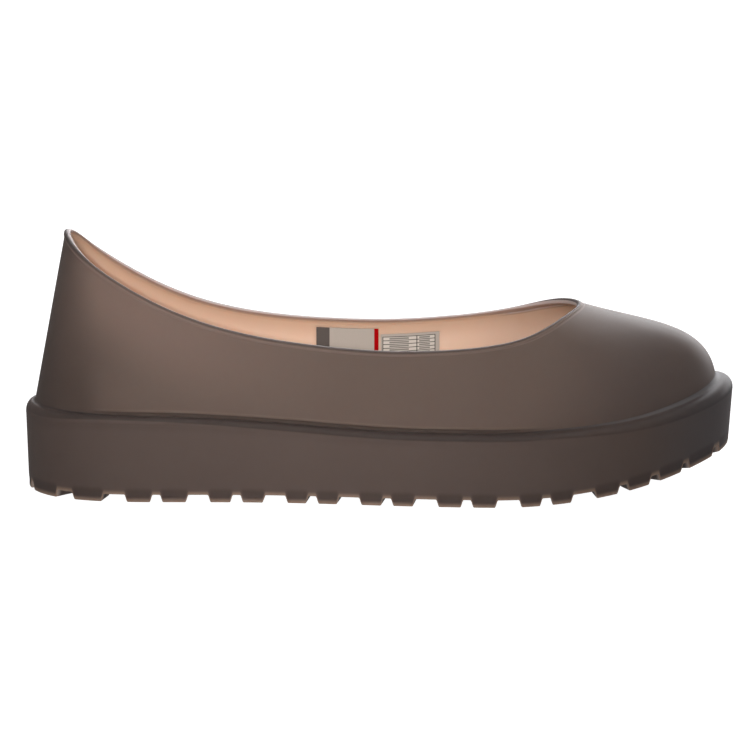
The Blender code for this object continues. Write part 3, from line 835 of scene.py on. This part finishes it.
# The ledge itself, and the wall right under it
LEDGE_SHARES = (
    (
        Ramp("shifted", -0.2, 0.7, 0.65, 0.0),
        Ramp("along", 0.05, 0.1, 1.0, 0.6),
        Ramp("along", -0.14, -0.12, 0.6, 1.0),
    ),
    (Ramp("below", 0.0, 5.0, 0.13, 0.0), Ramp("along", 0.0, 0.05, 1.0, 0.0)),
)
SOLE_PAINTS = (
    # Painted light: a cooler, greyer cast on the wall at the toe end
    Paint("toe", (98, 96, 100), (Ramp("along", 0.1, 0.14, 0.0, 0.6),)),
    # Painted shade: the wall darker towards the heel
    Paint("heel", (98, 84, 79), (Ramp("along", -0.14, -0.1, 0.6, 0.0),)),
    Paint("ledge", (56, 50, 49), ("ledge",)),
    # Painted highlight: a light line in the cove at the toe
    Paint(
        "cove",
        (184, 180, 182),
        (Band("cove", 0.5, 0.15, 0.35, 0.22), Ramp("along", 0.05, 0.12, 0.0, 1.0)),
    ),
    # Painted highlight along the fine ridge under the ledge, which also stands a little proud in the skin
    Paint(
        "line under the ledge",
        (112, 98, 92),
        (
            Band("below", 1.1, 0.15, 0.5, 0.15),
            Ramp("along", -0.135, -0.1, 0.0, 1.0),
            Ramp("along", 0.05, 0.11, 1.0, 0.0),
        ),
    ),
    # Painted shade: a darker band across the upper part of each lug
    Paint("tops of the lugs", (62, 53, 51), (Band("rise", 3.4, 1.0, 2.2, 0.35), "lug")),
    # Painted light: the lugs' lower edges lighter near the ground, standing in for light from it
    Paint(
        "lower edges",
        (176, 150, 132),
        (Ramp("above", 0.2, 2.2, 0.7, 0.0), Ramp("deep", 1.0, 2.5, 1.0, 0.0)),
    ),
    # Painted light: pale gaps between the lugs near the edge, standing in for light from the ground
    Paint(
        "gaps between the lugs",
        (200, 187, 181),
        (
            Ramp("deep", 0.1, 0.3, 0.0, 1.0),
            Ramp("deep", 1.0, 3.5, 0.55, 0.0),
            Ramp("lug", 0.8, 1.0, 1.0, 0.0),
        ),
    ),
    Paint("specks", (150, 140, 134), ("specks", 0.3)),
)

# The labels: paper, the plain one's ends, and the chart's field, rules and bars
PAPER_TONES = ((172, 164, 156), (178, 170, 162))
PLAIN_PAINTS = (
    Paint("grey end", (90, 84, 81), (Ramp("across", 5.3, 5.5, 1.0, 0.0),)),
    Paint("red end", (160, 1, 8), (Ramp("across", 23.8, 24.0, 0.0, 1.0),)),
)
CHART_FIELD = (Band("across", 11.7, 11.0, 0.05, 1.0), Ramp("down", 1.0, 1.1, 0.0, 1.0))
ROW_FIRST = 1.2
ROW_HALF = 0.85
ROW_BAR = Ramp("row", 0.4, 0.5, 0.0, 0.6)
CHART_LINES = (
    (Band("across", 15.0, 0.12, 0.1, 1.0),),
    (Band("across", 0.8, 0.14, 0.1, 1.0),),
    (Band("across", 22.6, 0.14, 0.1, 1.0),),
    (Ramp("row", 0.1, 0.2, 1.0, 0.0),),
    (Band("across", 7.6, 4.0, 0.1, 1.0), ROW_BAR),
    (Band("across", 18.2, 2.2, 0.1, 1.0), ROW_BAR),
)
CHART_PAINTS = (
    Paint("field", (204, 198, 190), ("field",)),
    Paint("ink", (34, 32, 32), ("line", "field")),
)

# Noises as (scale, detail), bumps as (strength, distance in metres), specks as (scale, size, rarity)
GRAIN = (2600, 2.0)
GRAIN_BUMP = (0.12, 0.00012)
SWELL = (70, 2.0)
SWELL_BUMP = (0.25, 0.0006)
MOTTLE = (22, 4.0)
SPECKS = (75, 0.035, 0.8)
SPECK_CORE = 0.4
SPECK_CHOICE = 0.02
FIBRE = (1800, 3.0)
FIBRE_BUMP = (0.15, 0.0001)

# Gloss. The rubber's roughness follows its grain: from and to in the noise, then low and high.
RUBBER_ROUGHNESS = (0.3, 0.7, 0.46, 0.54)
RUBBER = {
    "Specular_IOR_Level": 0.22,
    "Subsurface_Weight": 1.0,
    "Subsurface_Radius": (1.0, 0.8, 0.7),
    "Subsurface_Scale": 0.003,
}
PAPER = {"Specular_IOR_Level": 0.15, "Roughness": 0.55}


def color(red, green, blue):
    """Linear colour from display values of 0 to 255."""
    shares = [value / 255 for value in (red, green, blue)]
    linear = [s / 12.92 if s <= 0.04045 else ((s + 0.055) / 1.055) ** 2.4 for s in shares]
    return (*linear, 1.0)


class Nodes:
    """Short calls for building a material's node tree."""

    def __init__(self, name):
        self.material = bpy.data.materials.new(name)
        self.material.use_nodes = True
        self.tree = self.material.node_tree
        self.shader = self.tree.nodes["Principled BSDF"]

    def plug(self, socket, value):
        """Links an output to a socket, or sets the socket's own value."""
        if isinstance(value, bpy.types.NodeSocket):
            self.tree.links.new(value, socket)
        else:
            socket.default_value = value

    def mark(self, name):
        """A value kept with the points of the mesh."""
        node = self.tree.nodes.new("ShaderNodeAttribute")
        node.attribute_name = name
        return node.outputs["Fac"]

    def place(self):
        """Where a point of the object is, in metres."""
        return self.tree.nodes.new("ShaderNodeTexCoord").outputs["Object"]

    def part(self, vector, axis):
        """One axis of a vector."""
        node = self.tree.nodes.new("ShaderNodeSeparateXYZ")
        self.plug(node.inputs[0], vector)
        return node.outputs[axis]

    def step(self, value, start, end, low=0.0, high=1.0):
        """low up to start, high from end on, with a smooth turn between them."""
        node = self.tree.nodes.new("ShaderNodeMapRange")
        node.interpolation_type = "SMOOTHSTEP"
        self.plug(node.inputs[0], value)
        for k, number in enumerate((start, end, low, high), start=1):
            node.inputs[k].default_value = number
        return node.outputs[0]

    def math(self, operation, a, b=0.0):
        """The result of one operation on two values."""
        node = self.tree.nodes.new("ShaderNodeMath")
        node.operation = operation
        self.plug(node.inputs[0], a)
        self.plug(node.inputs[1], b)
        return node.outputs[0]

    def band(self, value, middle, half, soft, share):
        """share within half of middle, and 0 from soft further out."""
        away = self.math("ABSOLUTE", self.math("SUBTRACT", value, middle))
        return self.step(away, half, half + soft, share, 0.0)

    def mix(self, share, a, b):
        """Colour a where share is 0, colour b where it is 1."""
        node = self.tree.nodes.new("ShaderNodeMix")
        node.data_type = "RGBA"
        self.plug(node.inputs[0], share)
        self.plug(node.inputs[6], a)
        self.plug(node.inputs[7], b)
        return node.outputs[2]

    def tones(self, share, pair):
        """The first tone of a pair where share is 0, the second where it is 1."""
        return self.mix(share, *(color(*tone) for tone in pair))

    def share(self, factors, values):
        """The product of a paint's factors."""
        product = None
        for factor in factors:
            if isinstance(factor, Ramp):
                factor = self.step(values[factor.value], *factor[1:])
            elif isinstance(factor, Band):
                factor = self.band(values[factor.value], *factor[1:])
            elif isinstance(factor, str):
                factor = values[factor]
            product = factor if product is None else self.math("MULTIPLY", product, factor)
        return product

    def greatest(self, choices, values):
        """The greatest of several such products."""
        first, *others = (self.share(factors, values) for factors in choices)
        for other in others:
            first = self.math("MAXIMUM", first, other)
        return first

    def paint(self, base, paints, values):
        """A colour with each of the paints laid over it in turn."""
        for row in paints:
            base = self.mix(self.share(row.factors, values), base, color(*row.tone))
        return base

    def noise(self, vector, scale, detail):
        """Soft noise around a half."""
        node = self.tree.nodes.new("ShaderNodeTexNoise")
        self.plug(node.inputs["Vector"], vector)
        node.inputs["Scale"].default_value = scale
        node.inputs["Detail"].default_value = detail
        return node.outputs[0]

    def specks(self, vector, scale, size, rarity):
        """Sparse round specks: 1 in a speck of that size, in the share of cells above rarity."""
        node = self.tree.nodes.new("ShaderNodeTexVoronoi")
        self.plug(node.inputs["Vector"], vector)
        node.inputs["Scale"].default_value = scale
        chosen = self.step(self.part(node.outputs["Color"], "X"), rarity, rarity + SPECK_CHOICE)
        spot = self.step(node.outputs["Distance"], size * SPECK_CORE, size, 1.0, 0.0)
        return self.math("MULTIPLY", chosen, spot)

    def bump(self, height, strength, distance, below=None):
        """A normal raised by height, over the normal below if there is one."""
        node = self.tree.nodes.new("ShaderNodeBump")
        node.inputs["Strength"].default_value = strength
        node.inputs["Distance"].default_value = distance
        self.plug(node.inputs["Height"], height)
        if below is not None:
            self.plug(node.inputs["Normal"], below)
        return node.outputs[0]

    def settle(self, **values):
        """Sets the shader's own sockets; the names are theirs with _ for each space."""
        for name, value in values.items():
            self.plug(self.shader.inputs[name.replace("_", " ")], value)
        return self.material


def rubber(name, marks):
    """Moulded rubber with fine satin grain over a faint swell, and the values for its paints."""
    nodes = Nodes(name)
    place = nodes.place()
    values = {mark: nodes.mark(mark) for mark in marks}
    values["along"] = nodes.part(place, "X")
    values["mottle"] = nodes.noise(place, *MOTTLE)
    values["specks"] = nodes.specks(place, *SPECKS)
    grain = nodes.noise(place, *GRAIN)
    swell = nodes.bump(nodes.noise(place, *SWELL), *SWELL_BUMP)
    normal = nodes.bump(grain, *GRAIN_BUMP, swell)
    nodes.settle(Roughness=nodes.step(grain, *RUBBER_ROUGHNESS), Normal=normal, **RUBBER)
    return nodes, values


def upper_material():
    """Brown rubber outside, from the groove to the bead, with painted shade and highlights, and inside a
    pale colour painted to stand in for light glowing through the wall.
    """
    nodes, values = rubber("upper_rubber", UPPER_MARKS)
    outer = nodes.paint(nodes.tones(values["mottle"], UPPER_TONES), UPPER_PAINTS, values)
    depth = nodes.share([INSIDE_GLOW_RAMP], values)
    inside_glow = nodes.paint(nodes.tones(depth, INSIDE_GLOW_TONES), INSIDE_GLOW_PAINTS, values)
    return nodes.settle(Base_Color=nodes.mix(values["inside"], outer, inside_glow))


def sole_material():
    """Darker rubber with a dark ledge, painted shade and highlights, lugs painted lighter towards the
    ground to stand in for light from it, and the tray inside painted pale for light glowing through it.
    """
    nodes, values = rubber("sole_rubber", SOLE_MARKS)
    values["shifted"] = nodes.math("ADD", values["below"], nodes.share([LEDGE_SHIFT], values))
    values["ledge"] = nodes.greatest(LEDGE_SHARES, values)
    gap = nodes.math("SUBTRACT", 1.0, values["lug"])
    values["above"] = nodes.math("SUBTRACT", values["rise"], nodes.math("MULTIPLY", gap, LUG_DEPTH))
    wall = nodes.paint(nodes.tones(values["mottle"], SOLE_TONES), SOLE_PAINTS, values)
    tray = nodes.tones(values["mottle"], TRAY_GLOW_TONES)
    return nodes.settle(Base_Color=nodes.mix(values["inside"], wall, tray))


def paper(name):
    """Faintly fibrous paper, its colour, and the values for its paints."""
    nodes = Nodes(name)
    values = {mark: nodes.mark(mark) for mark in LABEL_MARKS}
    fibre = nodes.noise(nodes.place(), *FIBRE)
    nodes.settle(Normal=nodes.bump(fibre, *FIBRE_BUMP), **PAPER)
    return nodes, nodes.tones(fibre, PAPER_TONES), values


def plain_label_material():
    """A blank label with a grey end and a red end."""
    nodes, face, values = paper("label_plain_paper")
    return nodes.settle(Base_Color=nodes.paint(face, PLAIN_PAINTS, values))


def chart_label_material():
    """A label with a plain ruled chart."""
    nodes, face, values = paper("label_chart_paper")
    values["row"] = nodes.math("PINGPONG", nodes.math("SUBTRACT", values["down"], ROW_FIRST), ROW_HALF)
    values["field"] = nodes.share(CHART_FIELD, values)
    values["line"] = nodes.greatest(CHART_LINES, values)
    return nodes.settle(Base_Color=nodes.paint(face, CHART_PAINTS, values))


# Stage, light and camera, in metres and watts; the sensor is in millimetres, the image in pixels

IMAGE_SIDE = 750
SENSOR = 36.0
CAMERA_ELEVATION = math.radians(10.8)
CAMERA_DISTANCE = 2.4
CAMERA_AIM = Vector((0, 0, 0.045))
PIXELS_PER_METRE = 2437.0
AIM_PIXEL = (379.05, 376.5)

LightRow = namedtuple("LightRow", "name place width height power tint")
LIGHTS = (
    LightRow("backdrop", (0.5, 1.5, 0.55), 1.8, 0.9, 15.0, (0.97, 0.98, 1.0)),
    LightRow("top", (-0.05, -0.2, 1.6), 1.0, 1.0, 4.0, (1.0, 1.0, 1.0)),
    LightRow("rim", (0.1, 1.3, 1.4), 0.8, 0.4, 14.0, (0.97, 0.98, 1.0)),
    LightRow("side", (1.3, 0.5, 0.45), 0.6, 0.6, 2.1, (0.97, 0.98, 1.0)),
)
LIGHT_AIM = Vector((0, 0, 0.04))
WORLD_STRENGTH = 0.2

# The front light is a soft beam, brightest behind the middle of the shoe
BEAM_PLACE = (-0.12, -1.9, 0.45)
BEAM_AIM = Vector((-0.032, 0, 0.085))
BEAM_POWER = 128.0
BEAM_ANGLE = math.radians(11.6)
BEAM_BLEND = 1.0
BEAM_RADIUS = 0.08
BEAM_TINT = (1.0, 0.98, 0.96)

FLOOR_HALF = 4.0
FLOOR_GLOW = 1.0
FLOOR_ROUGHNESS = 0.9
FLOOR_MOTTLE = (8, 2.0)
FLOOR_TONES = ((0.29, 0.29, 0.29, 1), (0.31, 0.31, 0.31, 1))
WHITE = (1, 1, 1, 1)


def turned(direction):
    """The rotation that points a camera or lamp along direction."""
    return direction.to_track_quat("-Z", "Y").to_euler()


def make_camera():
    """A long lens at the photo's viewing angle, shifted to its framing."""
    data = bpy.data.cameras.new("camera")
    data.sensor_width = SENSOR
    data.lens = SENSOR * CAMERA_DISTANCE * PIXELS_PER_METRE / IMAGE_SIDE
    data.shift_x = (IMAGE_SIDE / 2 - AIM_PIXEL[0]) / IMAGE_SIDE
    data.shift_y = (AIM_PIXEL[1] - IMAGE_SIDE / 2) / IMAGE_SIDE
    camera = add("camera", data)
    back = Vector((0, -math.cos(CAMERA_ELEVATION), math.sin(CAMERA_ELEVATION)))
    camera.location = CAMERA_AIM + back * CAMERA_DISTANCE
    camera.rotation_euler = turned(-back)
    bpy.context.scene.camera = camera


def hang(data, place, aim, power, tint):
    """A lamp at a place, turned to its aim and out of the camera's sight."""
    data.energy = power
    data.color = tint
    lamp = add(data.name, data)
    lamp.location = place
    lamp.rotation_euler = turned(aim - lamp.location)
    lamp.visible_camera = False
    return lamp


def make_lights():
    """Soft panels behind, above and beside the shoe, the front beam, and a faint white surround."""
    for row in LIGHTS:
        panel = bpy.data.lights.new(row.name, "AREA")
        panel.shape = "RECTANGLE"
        panel.size = row.width
        panel.size_y = row.height
        hang(panel, row.place, LIGHT_AIM, row.power, row.tint)
    beam = bpy.data.lights.new("front", "SPOT")
    beam.spot_size = BEAM_ANGLE
    beam.spot_blend = BEAM_BLEND
    beam.shadow_soft_size = BEAM_RADIUS
    hang(beam, BEAM_PLACE, BEAM_AIM, BEAM_POWER, BEAM_TINT).visible_glossy = False
    world = bpy.data.worlds.new("studio")
    world.use_nodes = True
    sky = world.node_tree.nodes["Background"]
    sky.inputs["Color"].default_value = WHITE
    sky.inputs["Strength"].default_value = WORLD_STRENGTH
    bpy.context.scene.world = world
    bpy.context.scene.view_settings.view_transform = "Standard"


def make_floor():
    """A plain pale floor, which throws no light on the shoe."""
    nodes = Nodes("floor_paper")
    tone = nodes.mix(nodes.noise(nodes.place(), *FLOOR_MOTTLE), *FLOOR_TONES)
    nodes.settle(Base_Color=tone, Roughness=FLOOR_ROUGHNESS, Specular_IOR_Level=0.0)
    material = nodes.settle(Emission_Color=WHITE, Emission_Strength=FLOOR_GLOW)
    mesh = bpy.data.meshes.new("floor")
    corners = [(-1, -1), (1, -1), (1, 1), (-1, 1)]
    mesh.from_pydata([(x * FLOOR_HALF, y * FLOOR_HALF, 0) for x, y in corners], [], [(0, 1, 2, 3)])
    mesh.materials.append(material)
    floor = add("floor", mesh)
    floor.visible_diffuse = False
    floor.visible_glossy = False


make_camera()
make_lights()
make_floor()
label_materials = (plain_label_material(), chart_label_material())
pieces = [
    (make_upper(upper_material()), "upper", "upper_rubber"),
    (make_sole(sole_material()), "sole", "sole_rubber"),
]
for label_row, label_material in zip(LABELS, label_materials):
    pieces.append((make_label(label_row, label_material), label_row.name, "label_film"))
for piece, node, slot in pieces:
    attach(piece, "root")
    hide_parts(node)
